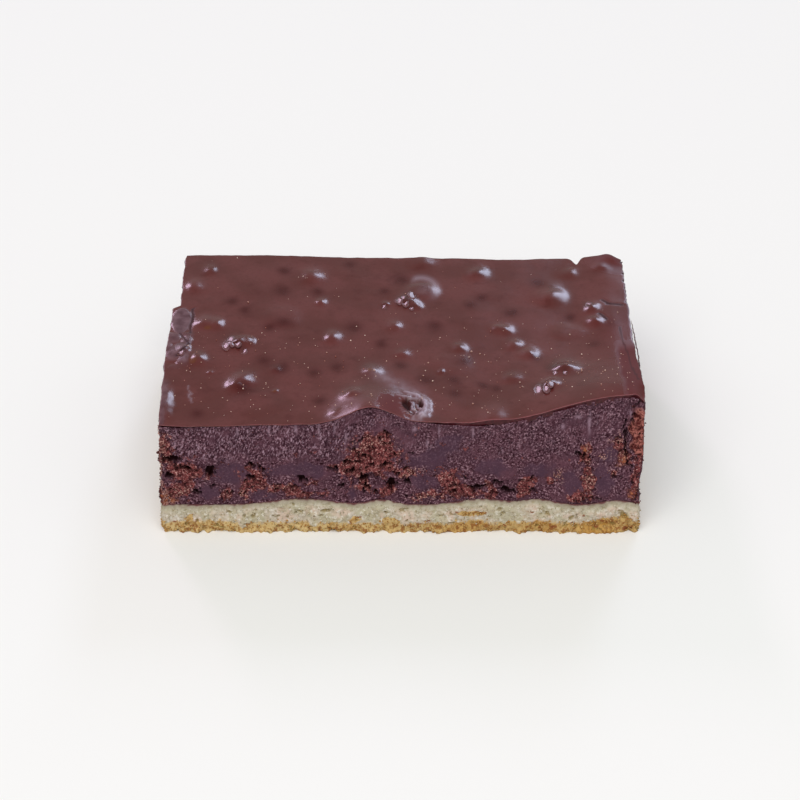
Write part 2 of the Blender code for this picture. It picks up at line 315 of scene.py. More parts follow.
def domes(points, size, seed):
    """Round tops on packed grains: sqrt(1 - (d / 0.8)^2), with d the distance in spacings to the
    nearest grain's centre. Each cell of a lattice has one centre, at random."""
    place = points / size
    cell = np.floor(place)
    nearest = np.full(len(points), 9.0)
    for step in np.ndindex(3, 3, 3):
        neighbour = cell + np.array(step) - 1
        centre = neighbour + np.stack([lottery(neighbour, seed + turn) for turn in (3, 5, 8)], -1)
        nearest = np.minimum(nearest, np.linalg.norm(place - centre, axis=-1))
    return np.sqrt(held(1 - (nearest / 0.8) ** 2))


def on_plan(x, y):
    """The points at these places of the plan, as rows of X, Y and 0."""
    return np.stack([x, y, 0 * x], -1).reshape(-1, 3)


def oval(x, z, along, up, wide, tall):
    """Distance from an oval's middle, in its own reaches."""
    return np.hypot((x - along) / wide, (z - up) / tall)


def patches(x, z, places):
    """How far into any of these ovals a point is: the sum over them of exp(-distance^2)."""
    return sum(bell(oval(x, z, *place), 1) for place in places)


def line(x, y, start, end, width):
    """exp(-(d / width)^2) with d the distance to the line between two points."""
    start, end = np.array(start), np.array(end)
    way = end - start
    place = np.stack([x, y], -1) - start
    along = held(place @ way / (way @ way))
    return bell(np.linalg.norm(place - along[..., None] * way, axis=-1), width)


# ---------------------------------------------------------------- the slice's own shape
def near_front(y, reach=RISE_REACH):
    """1 at the front edge, falling off towards the back."""
    return bell(y - FRONT, reach)


def chunk_share(x):
    """The share of the rise over the chunk that is reached at x: it falls off faster on the left."""
    return bell(x - CHUNK_X, np.where(x < CHUNK_X, CHUNK_REACH_LEFT, CHUNK_REACH_RIGHT))


def corner_share(x):
    """The share of the front right corner's rise that is reached at x."""
    return ramp(x, CORNER_START, CORNER_END)


def base_top(x, y):
    """Height of the shortcrust: long swells along X that wander a little with Y."""
    x = x + 3 * np.sin(y / 11)
    return BASE_HEIGHT + sum(high * bell(x - middle, reach) for middle, reach, high in BASE_SWELLS)


def filling_top(x, y):
    """Height of the filling: flat, but raised over the chunk and at the front right corner, where it
    ends in a shoulder that drops as the square of the way over it."""
    shoulder = SHOULDER_DROP * held((x - SHOULDER_START) / (RIGHT - SHOULDER_START)) ** 2
    shoulder = shoulder * near_front(y, SHOULDER_REACH)
    chunk = CHUNK_RISE * chunk_share(x) * near_front(y, CHUNK_LENGTH)
    rim = RIM_RISE * ramp(x, 0.36 * WIDTH, 0.47 * WIDTH)
    rim = rim + BACK_LEFT_RISE * ramp(-x, 0.15 * WIDTH, 0.35 * WIDTH)
    front = (TILT * (x + RIGHT) + CORNER_RISE * corner_share(x)) * near_front(y) + chunk
    return FILLING_TOP + front + rim * (1 - near_front(y)) - shoulder


def front_inset(x, z):
    """How far the cut front leans back at height z."""
    lean = CHUNK_LEAN * chunk_share(x) + CORNER_LEAN * corner_share(x)
    climb = ramp(z, BASE_HEIGHT, FILLING_TOP + GLAZE_THICKNESS)
    return (lean + 0.25 * (1 + np.sin(x / 5))) * climb


def back_inset(x, z):
    """The same for the back, which slants, dips in once and is cut away at its right corner."""
    slant = BACK_SLANT * ramp(x, -0.3 * WIDTH, 0.1 * WIDTH)
    dip = BACK_DIP * bell(x - BACK_DIP_X, 8)
    corner = BACK_CORNER_CUT * ramp(x, 0.46 * WIDTH, RIGHT)
    return (dip + corner) * ramp(z, 0, FILLING_TOP) + slant + 0.1 * (1 + np.sin(x / 7 + 1))


def left_inset(y, z):
    """The same for the left side, which steps in towards the back."""
    step = LEFT_STEP * ramp(y, LEFT_STEP_Y - 0.9, LEFT_STEP_Y + 0.9)
    return step * ramp(z, BASE_HEIGHT, 0.6 * FILLING_TOP) + 0.15 * (1 + np.sin(y / 6))


def right_inset(y, z):
    """The same for the right side, where the chunk at the front stands out to the full width."""
    chunk = near_front(y) * ramp(z, 0.45 * FILLING_TOP, 0.7 * FILLING_TOP)
    return RIGHT_INSET * (1 - chunk)


def settled(x, y, z):
    """Plan position of a point of the plain rectangle, once the edges lean and step as cut. Each
    edge's inset dies away towards the middle as the fifth power of the way to that edge."""
    def drawn_in(place, before, after):
        return before * ((1 - place) / 2) ** EDGE_FADE - after * ((1 + place) / 2) ** EDGE_FADE

    across = drawn_in(2 * x / WIDTH, left_inset(y, z), right_inset(y, z))
    along = drawn_in(2 * y / DEPTH, front_inset(x, z), back_inset(x, z))
    return np.stack([x + across, y + along, np.broadcast_to(z, np.shape(x))], -1)


def outline(front_step, side_step):
    """The plain outline in plan, a rounded rectangle walked anticlockwise from the front left:
    quarter circles joined by straight sides. Gives its points and its outward directions."""
    reach = np.array([RIGHT, DEPTH / 2]) - CORNER_RADIUS
    centres = reach * np.array([(-1, -1), (1, -1), (1, 1), (-1, 1)])
    points, outward = [], []
    for turn in range(4):
        angles = math.pi * (1 + turn / 2 + np.arange(CORNER_CELLS) / CORNER_CELLS / 2)
        arc = np.stack([np.cos(angles), np.sin(angles)], -1)
        points.append(centres[turn] + CORNER_RADIUS * arc)
        outward.append(arc)
        facing = np.array([math.cos(math.pi * (1.5 + turn / 2)), math.sin(math.pi * (1.5 + turn / 2))])
        start, end = centres[turn], centres[(turn + 1) % 4]
        cells = round(np.linalg.norm(end - start) / (front_step if turn == 0 else side_step))
        share = np.arange(cells)[:, None] / cells
        points.append(start + (end - start) * share + CORNER_RADIUS * facing)
        outward.append(np.broadcast_to(facing, (cells, 2)))
    return np.concatenate(points), np.concatenate(outward)


# ---------------------------------------------------------------- meshes
def mesh_piece(name, points, faces, material, traits=None):
    """A smooth-shaded piece from points in millimetres, with a named number for each point."""
    mesh = bpy.data.meshes.new(name)
    mesh.from_pydata((points * MM).tolist(), [], faces)
    for trait_name, values in (traits or {}).items():
        layer = mesh.attributes.new(trait_name, "FLOAT", "POINT")
        layer.data.foreach_set("value", np.asarray(values, np.float32))
    mesh.shade_smooth()
    mesh.materials.append(material)
    piece = bpy.data.objects.new(name, mesh)
    bpy.context.scene.collection.objects.link(piece)
    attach(piece, BODY)
    return piece


def ring_faces(count, around):
    """Quads between rings stacked from bottom to top, and a fan to one point at each end. Point 0
    is the foot, then come the rings, and the last point is the crown."""
    here = np.arange(around)
    there = np.roll(here, -1)
    rows = 1 + around * np.arange(count - 1)[:, None]
    quads = np.stack([rows + here, rows + there, rows + around + there, rows + around + here], -1)
    last = 1 + around * (count - 1)
    crown = np.full(around, last + around)
    foot_fan = np.stack([np.zeros_like(here), there + 1, here + 1], -1)
    crown_fan = np.stack([crown, last + here, last + there], -1)
    return quads.reshape(-1, 4).tolist() + foot_fan.tolist() + crown_fan.tolist()


def with_ends(rings):
    """The rings' points with the middle of the first ring before them and that of the last after."""
    return np.concatenate([[rings[0].mean(0)], rings.reshape(-1, 3), [rings[-1].mean(0)]])


def spread(values, below, above):
    """A trait known on the wall's rows, carried to every ring of a solid: the rings below the wall
    repeat its first row, and those above it repeat its last."""
    full = np.pad(values, ((below, above), (0, 0)), mode="edge")
    return np.concatenate([[full[0].mean()], full.reshape(-1), [full[-1].mean()]])


def wall(lower, upper, rows, steps):
    """The plain wall between two height functions, as rings: points, outward directions, each
    ring's share of the height and the outline in plan."""
    plan, outward = outline(*steps)
    x, y = plan.T
    share = np.linspace(0, 1, rows)[:, None]
    z = lower(x, y) * (1 - share) + upper(x, y) * share
    x, y = np.broadcast_to(x, z.shape), np.broadcast_to(y, z.shape)
    outward = np.broadcast_to(np.concatenate([outward, np.zeros((len(outward), 1))], -1), z.shape + (3,))
    return settled(x, y, z), outward, np.broadcast_to(share, z.shape), plan


def cap(plan, height, shares):
    """Rings that close a layer over its outline, each the outline drawn in to a share of its size."""
    x, y = plan.T
    return np.stack([settled(x * share, y * share, height(x * share, y * share)) for share in shares])


def faces_front(outward):
    """1 on the part of a wall that faces the front, and 0 past its corners."""
    return ramp(-outward[..., 1].reshape(-1), 0.7, 0.95)


def closed_wall(name, walls, lower_caps, upper_caps, material, known):
    """The wall and its caps as one closed piece, with the wall's traits carried over to the caps."""
    rings = np.concatenate([lower_caps, walls, upper_caps])
    traits = {
        trait_name: spread(values.reshape(walls.shape[:2]), len(lower_caps), len(upper_caps))
        for trait_name, values in known.items()
    }
    return mesh_piece(name, with_ends(rings), ring_faces(*rings.shape[:2]), material, traits)


# ---------------------------------------------------------------- materials
class Wire:
    """A shader socket that takes part in sums. Each operator adds the Math node that works it out,
    and node() adds any other node."""

    def __init__(self, tree, socket=None):
        self.tree = tree
        self.socket = socket

    def node(self, kind, settings, sockets, output=0):
        """Adds a node of this kind: its settings first, then the values or wires of its sockets."""
        made = self.tree.nodes.new(kind)
        for key, value in settings.items():
            setattr(made, key, value)
        for key, value in sockets.items():
            if isinstance(value, Wire):
                self.tree.links.new(value.socket, made.inputs[key])
            else:
                made.inputs[key].default_value = value
        return Wire(self.tree, made.outputs[output])

    def sum(self, operation, *terms):
        return self.node("ShaderNodeMath", {"operation": operation}, dict(enumerate(terms)))

    def __add__(self, other):
        return self.sum("ADD", self, other)

    def __sub__(self, other):
        return self.sum("SUBTRACT", self, other)

    def __rsub__(self, other):
        return self.sum("SUBTRACT", other, self)

    def __mul__(self, other):
        return self.sum("MULTIPLY", self, other)

    __radd__ = __add__
    __rmul__ = __mul__

    def ramp(self, start, end):
        """0 below start and 1 above end, with a smooth step between."""
        sockets = {"Value": self, "From Min": start, "From Max": end}
        return self.node("ShaderNodeMapRange", {"interpolation_type": "SMOOTHSTEP"}, sockets)

    def mix(self, first, second):
        """The first colour where this wire is 0 and the second where it is 1. Each is a wire, or
        red, green and blue as seen on a screen, from 0 to 255."""
        first, second = (tint if isinstance(tint, Wire) else linear(tint) for tint in (first, second))
        return self.node("ShaderNodeMix", {"data_type": "RGBA"}, {0: self, 6: first, 7: second}, 2)

    def into(self, surface, name):
        """Runs this wire into a socket of the surface."""
        self.tree.links.new(self.socket, surface.inputs[name])


def linear(tint):
    """A colour as seen on a screen, from 0 to 255, as the linear values that a shader takes: each
    part p is p / 12.92 up to 0.04045, and ((p + 0.055) / 1.055)^2.4 above."""
    parts = [part / 255 for part in tint]
    return [part / 12.92 if part <= 0.04045 else ((part + 0.055) / 1.055) ** 2.4 for part in parts] + [1]


def over(look, *coats):
    """Lays coats over a colour one by one, each given by how far it covers and its own colour."""
    for cover, tint in coats:
        look = cover.mix(look, tint)
    return look


def finish(name, roughness, specular):
    """A new material with a Principled surface whose gloss is set on its own sockets. Gives the
    material, the surface node and the place on the piece."""
    material = bpy.data.materials.new(name)
    material.use_nodes = True
    tree = material.node_tree
    surface = tree.nodes["Principled BSDF"]
    surface.inputs["Roughness"].default_value = roughness
    surface.inputs["Specular IOR Level"].default_value = specular
    return material, surface, Wire(tree).node("ShaderNodeTexCoord", {}, {}, "Object")


def trait(wire, name):
    """A trait of the piece's points, by name."""
    return wire.node("ShaderNodeAttribute", {"attribute_name": name}, {}, "Fac")


def noise(place, size_mm, detail=2.0, roughness=0.5):
    """Soft noise, mostly from 0.3 to 0.7, with features of this size."""
    sockets = {"Vector": place, "Scale": 1 / (size_mm * MM), "Detail": detail, "Roughness": roughness}
    return place.node("ShaderNodeTexNoise", {}, sockets, "Fac")


def speckle(place, size_mm):
    """Packed cells of this size, each with a number of its own from 0 to 1."""
    sockets = {"Vector": place, "Scale": 1 / (size_mm * MM)}
    return place.node("ShaderNodeTexVoronoi", {}, sockets, "Color")


def bumped(surface, height, depth_mm):
    """Fine relief this deep, from a wire's height."""
    sockets = {"Height": height, "Distance": depth_mm * MM, "Strength": 0.8}
    height.node("ShaderNodeBump", {}, sockets).into(surface, "Normal")


def shortcrust_finish():
    """Pale baked pastry: cream, mottled with a little pink and green, with olive pores, darkened partly
    as painted shade, and golden with browned tips where it is baked."""
    material, surface, place = finish("shortcrust", 0.85, 0.15)
    fine = noise(place, 0.9, 4)
    fleck = speckle(place, 0.5)
    cream = over(
        fine.ramp(0.3, 0.7).mix((180, 166, 145), (202, 192, 180)),
        (noise(place, 3.1, 3).ramp(0.48, 0.62) * 0.75, (208, 184, 168)),
        (noise(place, 4.3, 3).ramp(0.48, 0.6) * 0.65, (176, 170, 142)),
        (fleck.ramp(0.70, 0.78) * 0.7, (218, 212, 202)),
    )
    dull = fine.ramp(0.3, 0.7).mix((168, 161, 138), (190, 183, 164))
    along = place.node("ShaderNodeSeparateXYZ", {}, {"Vector": place}, "X")
    brown = over(
        noise(place, 1.7, 3).ramp(0.3, 0.7).mix((172, 128, 62), (206, 172, 108)),
        (noise(place, 9, 2).ramp(0.38, 0.58) * 0.8, (200, 176, 124)),
        (along.ramp(0.03, -0.03) * 0.5, (206, 182, 136)),
        (along.ramp(-0.02, 0.04) * 0.3, (168, 114, 48)),
        (noise(place, 1.1, 2).ramp(0.52, 0.64) * 0.85, (134, 82, 38)),
    )
    crust = over(
        cream,
        (trait(place, "band"), dull),
        ((trait(place, "bake") + (fine - 0.5) * 1.2).ramp(0.15, 0.85), brown),
        (trait(place, "pore_shade") * 0.75, (150, 128, 72)),
        (trait(place, "toasted"), (132, 78, 46)),
        (trait(place, "stain"), (100, 60, 62)),
    )
    crust.into(surface, "Base Color")
    bumped(surface, noise(place, 0.35, 3), 0.14)
    return material


def filling_finish():
    """Moist dark filling: a purple-brown cream with scattered dark grains and pale flecks that are
    partly painted glints, red-brown sponge crumb with painted shade between its crumbs, pits
    painted nearly black as painted shade, and mauve glints where the knife has smeared it."""
    material, surface, place = finish("crumb_filling", 0.5, 0.08)
    grain = noise(place, 0.38, 3, 0.6)
    fine = noise(place, 0.9, 4, 0.6)
    dot = speckle(place, 0.5)
    rough = (1.0 - trait(place, "cream") * 0.8) * noise(place, 4.5, 2).ramp(0.28, 0.56)
    tilt = {"Vector": place, "Angle": -0.3}
    leaning = place.node("ShaderNodeVectorRotate", {"rotation_type": "Y_AXIS"}, tilt)
    drawn = place.node("ShaderNodeVectorMath", {"operation": "MULTIPLY"}, {0: leaning, 1: (1, 1, 0.4)})
    streak = noise(drawn, 0.36, 3, 0.65)
    smear = trait(place, "smear")
    cream = over(
        noise(place, 3.0, 3).ramp(0.3, 0.7).mix((78, 49, 61), (93, 59, 71)),
        (trait(place, "cream") * 0.55, (66, 46, 64)),
        (fine.ramp(0.48, 0.34) * rough * 0.8, (52, 20, 32)),
        # Pale flecks, partly painted glints.
        (grain.ramp(0.555, 0.65) * rough, (154, 120, 132)),
        (grain.ramp(0.48, 0.39) * rough, (38, 10, 20)),
        (streak.ramp(0.47, 0.38) * smear, (46, 20, 32)),
        (streak.ramp(0.53, 0.66) * smear, (158, 128, 144)),
    )
    sponge = over(
        fine.ramp(0.35, 0.65).mix((86, 36, 40), (134, 72, 72)),
        # Pale flecks, partly painted glints on the crumbs' tips.
        (grain.ramp(0.55, 0.65), (190, 144, 140)),
        (fine.ramp(0.44, 0.35), (46, 8, 12)),
        (grain.ramp(0.44, 0.36), (40, 6, 10)),
    )
    chunk = fine.ramp(0.38, 0.62).mix((74, 24, 24), (164, 100, 92))
    chunk = grain.ramp(0.45, 0.37).mix(chunk, (48, 12, 14))
    tan = dot.ramp(0.3, 0.6).mix((146, 96, 90), (208, 166, 156))
    amber = dot.ramp(0.3, 0.6).mix((112, 54, 40), (162, 98, 64))
    mixed = over(
        cream,
        ((trait(place, "crumb") + (fine - 0.5) * 1.6).ramp(0.3, 0.7), sponge),
        (trait(place, "chunk"), chunk),
        (trait(place, "pale") * grain.ramp(0.56, 0.62), tan),
        (trait(place, "amber") * fine.ramp(0.38, 0.5), amber),
        (trait(place, "glint") * 0.75, (148, 120, 136)),
        # Painted shade in the gaps between crumbs and in the pits.
        (trait(place, "hollow_shade") * 0.7, (40, 9, 13)),
        (trait(place, "pit"), (26, 0, 2)),
    )
    mixed.into(surface, "Base Color")
    (0.62 - trait(place, "cream") * 0.22).into(surface, "Roughness")
    bumped(surface, grain + fine + streak * smear, 0.14)
    return material


def glaze_finish():
    """Set chocolate glaze: an even brown with soft dark red spots and a gentle gloss, mauve where it
    is torn, brown where a crumb shows, and dark red on its cut edge, partly as painted shade. Painted
    highlights lie along its front lip and with a pale film, and its holes are darkened partly as
    painted shade."""
    material, surface, place = finish("chocolate_glaze", 0.22, 0.32)
    torn, face, film_and_highlight = (trait(place, name) for name in ("mauve", "face", "film_and_highlight"))
    brown = over(
        noise(place, 8, 3).ramp(0.35, 0.65).mix((86, 37, 34), (97, 46, 45)),
        (noise(place, 0.7, 2).ramp(0.45, 0.75) * 0.35, (78, 30, 28)),
        (trait(place, "spot") + noise(place, 3.4, 2).ramp(0.56, 0.76) * 0.3, (66, 2, 0)),
        (torn, noise(place, 2.2, 3).ramp(0.3, 0.7).mix((76, 42, 50), (112, 82, 90))),
        (trait(place, "bare"), (96, 48, 30)),
        # The cut face's dark red and the holes' near black are partly painted shade; the lip and the
        # pale film carry painted highlights.
        (face, noise(place, 0.6, 3).ramp(0.3, 0.7).mix((52, 4, 12), (72, 16, 26))),
        (trait(place, "shade"), (86, 10, 10)),
        (trait(place, "lip_highlight"), (130, 70, 76)),
        (film_and_highlight, (168, 152, 168)),
        (trait(place, "hole_and_shade"), (44, 0, 4)),
    )
    brown.into(surface, "Base Color")
    rough = face * 0.25 + torn * 0.12 + film_and_highlight * 0.2 + trait(place, "matt") * 0.5 + 0.22
    rough.into(surface, "Roughness")
    bumped(surface, noise(place, 1.4, 2), 0.016)
    return material


def sliver_finish():
    """Crumpled dark glaze, nearly matt."""
    material, surface, place = finish("glaze_sliver", 0.6, 0.2)
    crumpled = noise(place, 0.7, 3)
    crumpled.ramp(0.35, 0.6).mix((48, 14, 22), (98, 58, 64)).into(surface, "Base Color")
    bumped(surface, crumpled, 0.1)
    return material


def crumb_finish(name, dark, pale, roughness=0.8):
    """Dry crumb: each one between a darker and a paler colour by its own tone."""
    material, surface, place = finish(name, roughness, 0.2)
    toned = trait(place, "tone").mix(dark, pale)
    (noise(place, 0.25, 2) * 0.5).mix(toned, dark).into(surface, "Base Color")
    return material


# ---------------------------------------------------------------- the layers
def shortcrust_base():
    """Pastry wall with a fine open crumb, a coarse browned crust at its foot and a ragged edge."""
    flat, outward, share, plan = wall(lambda x, y: 0 * x, base_top, BASE_ROWS, BASE_STEPS)
    points = flat.reshape(-1, 3)
    x, y, z = points.T
    front = faces_front(outward)
    warp_x = x + 0.6 * cloud(points, 1.2, 49)
    warp_z = z + 0.4 * cloud(points, 1.2, 53)

    def spots(places, start, end):
        return front * ramp(patches(warp_x, warp_z, places), start, end)

    tongues = front * sum(high * bell(x - middle, reach) for middle, reach, high in CRUST_TONGUES)
    crust_line = 2.1 + tongues + 0.5 * cloud(points * [1, 1, 0.2], 5, 40) + (1 - front) * 0.8
    bake = ramp(z - crust_line + 0.4 * clouds(points, 1.3, 2, 41), 0.9, -0.8)
    bake = np.maximum(bake, spots(GOLD_SPOTS, 0.25, 0.5)) * (1 - spots(CREAM_LUMPS, 0.3, 0.6))
    depth = base_top(x, y) - z
    band = ramp(depth + 0.6 * cloud(points, 2.5, 50), 2.4, 0.6) * (1 - bake)
    crumb = domes(points, 1.3, 42) * 0.6 + domes(points, 0.6, 43) * 0.4
    crust = domes(points, 1.9, 44) * 0.7 + domes(points, 0.8, 45) * 0.3
    open_crumb = ramp(clouds(points * [1, 1, 1.5], 1.5, 2, 51), 0.55, 0.75) * (1 - 0.7 * band)
    holes = np.maximum(spots(PORES, 0.3, 0.7), open_crumb)
    foot = clouds(points * [1, 1, 0.5], 1.7, 3, 47) + 0.6 * cloud(points, 4.5, 54)
    foot = ramp(z, 1.7, 0.1) * foot
    relief = 0.25 * clouds(points, 5, 3, 46) + (0.36 - 0.26 * band) * crumb * (1 - bake)
    relief = relief + 0.38 * crust * bake + 0.9 * foot * (0.4 + 0.6 * front) - 0.5 * holes
    relief = relief + 0.5 * front * patches(warp_x, warp_z, CREAM_LUMPS)
    relief = relief + 0.8 * front * bell(x - 38, 7) * ramp(z, 1.8, 0.2) * domes(points, 2.6, 55)
    # Pores and the gaps between crumbs are painted olive, partly their own colour and partly painted
    # shade.
    pore_shade = held(0.35 - crumb * (1 - bake) - crust * bake) * 1.5 * (1 - 0.7 * band) + holes
    edge = depth + 0.3 * clouds(points, 1.2, 2, 48)
    stain = held(0.4 * ramp(edge, 1.5, 0.1) + 0.6 * ramp(edge, 0.4, 0.0))
    toasted = spots(TOASTED_SPOTS, 0.3, 0.8)
    walls = flat + outward * relief.reshape(share.shape)[..., None]
    below = np.stack([flat[0] * [part, part, 1] for part in (0.5, 0.9, 0.97)])
    above = cap(plan, base_top, (0.97, 0.85, 0.5))
    known = {"bake": bake, "pore_shade": held(pore_shade), "stain": stain, "band": band, "toasted": toasted}
    piece = closed_wall("shortcrust", walls, below, above, shortcrust_finish(), known)
    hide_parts("shortcrust_base")
    return walls, outward, bake.reshape(share.shape)


def dipped_top(x, y):
    """The filling's top, dipped under the notch in the glaze's back edge."""
    return filling_top(x, y) - 1.3 * bell(x - NOTCH_X, 1.2) * ramp(y, 29, 32)


def smeared_top(x, y):
    """The top of the cut front, smeared up over the glaze's edge, most of all on the left."""
    return dipped_top(x, y) + 0.85 + 0.5 * ramp(x, 13, 3) * ramp(y, FRONT + 1.2, FRONT + 0.3)


def crumb_filling():
    """Cut filling: packed crumbs and pits where it is spongy, smooth cream between them, and the
    knife's upright smears along the top, which run over the glaze's edge on the left."""
    flat, outward, share, plan = wall(
        lambda x, y: base_top(x, y) - 0.05, smeared_top, FILLING_ROWS, FILLING_STEPS
    )
    points = flat.reshape(-1, 3)
    height = share.reshape(-1)
    x, y, z = points.T
    front = faces_front(outward)
    warp_x = x + 1.0 * cloud(points, 2.4, 70) + 0.6 * cloud(points, 0.9, 71)
    warp_z = z + 0.8 * cloud(points, 2.4, 72) + 0.5 * cloud(points, 0.9, 73)
    rough = clouds(points, 2.0, 3, 74)

    # Patches have their own places on the front, and fall by chance on the other sides.
    crumb_chance = 0.9 * ramp(clouds(points * [1, 1, 1.4], 7, 3, 60) + 0.9 * (0.42 - height), 0.0, 0.5)
    crumb = patches(warp_x, warp_z, CRUMB_PATCHES) * front + crumb_chance * (1 - front)
    crumb = ramp(crumb + 0.4 * rough, 0.1, 0.9)
    cream_chance = ramp(clouds(points, 5, 2, 63), -0.1, 0.4)
    cream = patches(warp_x, warp_z, CREAM_PATCHES) * front + cream_chance * (1 - front)
    cream = ramp(cream + 0.25 * rough, 0.15, 0.6) * (1 - crumb)
    corner = ramp(-x, 48.4, 49.2) * ramp(-y, 32, 34)
    pale = held(patches(warp_x, warp_z, PALE_PATCHES)) * front
    pale = pale + 0.6 * corner * ramp(z, 8, 10) * (1 - front)
    amber = held(patches(warp_x, warp_z, AMBER_PATCHES)) * front
    amber = amber + corner * ramp(z, 11, 9) * (1 - front)
    chunk = front * ramp(oval(warp_x, warp_z, *CHUNK), 1.1, 0.8)

    # The knife's smears are streaks that lean a little.
    knife = ramp(x, -8, -14) * ramp(z, 16.4, 19.5) * front + ramp(height, 0.5, 0.8) * (1 - front)
    knife = (knife + 0.35 * ramp(z, 17, 20) * front) * (1 - 0.9 * crumb)
    streaks = clouds(points * [1, 1, 0.42] + np.stack([0.28 * z, 0 * z, 0 * z], -1), 0.55, 2, 64)
    smear = held(knife * (0.72 + 0.9 * clouds(points, 3.0, 3, 103)))
    grainy = domes(points, 0.5, 69)
    glint = held(1.1 * patches(x + 0.15 * rough, z, GLINTS) * front * ramp(grainy, 0.1, 0.6))

    # Pits and cracks have jagged edges.
    jagged_x = x + 0.8 * cloud(points, 1.2, 76) + 0.35 * cloud(points, 0.5, 77)
    jagged_z = z + 0.8 * cloud(points, 1.2, 78) + 0.35 * cloud(points, 0.5, 79)
    cuts = sum(ramp(oval(jagged_x, jagged_z, *pit), 1.25, 1.05) for pit in PITS)
    cracks = sum(line(jagged_x, jagged_z, start, end, CRACK_WIDTH) for start, end in CRACKS)
    chance_pits = ramp(clouds(points * [1, 1, 1.3], 1.3, 3, 66), 0.40, 0.54)
    corner_pits = 0.9 * front * ramp(clouds(points, 1.1, 2, 68), 0.5, 0.62) * ramp(x, 46.5, 47.5)
    pit = held((cuts + cracks) * front + chance_pits * (0.08 + 0.92 * crumb) * (1 - cream))
    pit = np.maximum(pit, corner_pits)

    packed = 0.55 * domes(points, 1.5, 61) + 0.45 * domes(points, 0.75, 62)
    # Painted shade: the gaps between packed crumbs are darkened.
    hollow_shade = held(0.45 - packed) * 2 * crumb * (1 - chunk)
    relief = 0.30 * clouds(points, 6, 2, 65) + crumb * (1.0 * packed - 0.45)
    relief = relief + smear * 0.25 * np.clip(streaks, -0.4, 1) + 0.14 * (grainy - 0.5) * (1 - cream)
    relief = relief + chunk * (0.7 + 0.5 * clouds(points, 2.2, 3, 67))
    sealed = ramp(height, 0, 0.04) * (1 - ramp(height, 0.985, 1) * (1 - front))
    relief = (relief - 1.4 * pit + 0.3 * front * ramp(height, 0.9, 1)) * sealed
    walls = flat + outward * relief.reshape(share.shape)[..., None]
    below = cap(plan, base_top, (0.5, 0.9, 0.98))
    above = cap(plan, lambda x, y: dipped_top(x, y) + 0.1, (0.98, 0.85, 0.5))
    known = {"crumb": crumb, "cream": cream, "pale": pale, "amber": amber, "glint": glint}
    known |= {"smear": smear, "hollow_shade": hollow_shade, "pit": pit, "chunk": chunk}
    piece = closed_wall("filling_cut", walls, below, above, filling_finish(), known)
    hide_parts("crumb_filling")
    open_crumb = crumb * (1 - pit) * (1 - chunk)
    return walls, outward, open_crumb.reshape(share.shape), (pale * (1 - pit)).reshape(share.shape)


def lump_height(x, y):
    """The lumps' height: each is a bell of its reach, drawn out half as far again towards the back,
    where the glaze ran down."""
    return sum(
        high * bell(np.hypot(x - across, (y - along) / np.where(y > along, 1.5, 1.0)), reach)
        for across, along, reach, high in LUMPS
    )


def blister_height(x, y):
    """Flat-topped blisters: height times exp(-(distance / reach)^4)."""
    return sum(
        high * np.exp(-((np.hypot(x - across, y - along) / reach) ** 4))
        for across, along, reach, high in BLISTERS
    )


def crater(x, y, points):
    """A burst bubble near the front edge: its height, where it is open, where thin film and a painted
    highlight on its right rim lie, and how far into its bowl a point is.
    A wrinkled ring stands up round it, widest on its right, ridges cross its bowl, and two torn
    holes lie between them."""
    squash = 0.55
    across = x - CRATER[0] + 0.3 * cloud(points, 1.6, 90)
    along = (y - CRATER[1] + 0.4 * cloud(points, 1.6, 91)) * squash
    away = np.hypot(across, along)
    turn = np.arctan2(along, across)
    side = 0.5 + 0.5 * np.cos(turn)
    clear = ramp(y, FRONT + 0.2, FRONT + 1.4)
    ring = (0.1 + 0.45 * side) * bell(away - 2.4, 0.6 + 0.3 * side)
    creases = clouds(on_plan(turn * 3.5, away * 0.5), 0.6, 2, 92)
    wrinkled = ramp(away, 3.5, 2.5) * ramp(away, 0.5, 1.2)
    opening = 0 * away
    for right, back, reach in CRATER_HOLES:
        gap = np.hypot(across - right, (along - back * squash) * 0.8) / reach
        opening = np.maximum(opening, ramp(gap + 0.25 * cloud(points, 0.8, 100), 1.1, 0.8))
    bowl = 0.35 * ramp(away, 2.5, 1.2)
    ridges = sum(line(across + CRATER[0], y, *ridge) for ridge in CRATER_RIDGES)
    # The ring's right side carries a painted highlight.
    rim_highlight = bell(away - 2.7, 0.65) * side**2 * (0.75 + 0.5 * creases)
    film_and_highlight = held(0.25 * wrinkled * ramp(creases, 0.0, 0.35) + rim_highlight + 0.6 * ridges) * (1 - opening)
    height = ring + 0.12 * wrinkled * creases - bowl + 0.3 * ridges - 0.8 * opening
    return height * clear, opening, film_and_highlight, ramp(away, 2.4, 1.6)


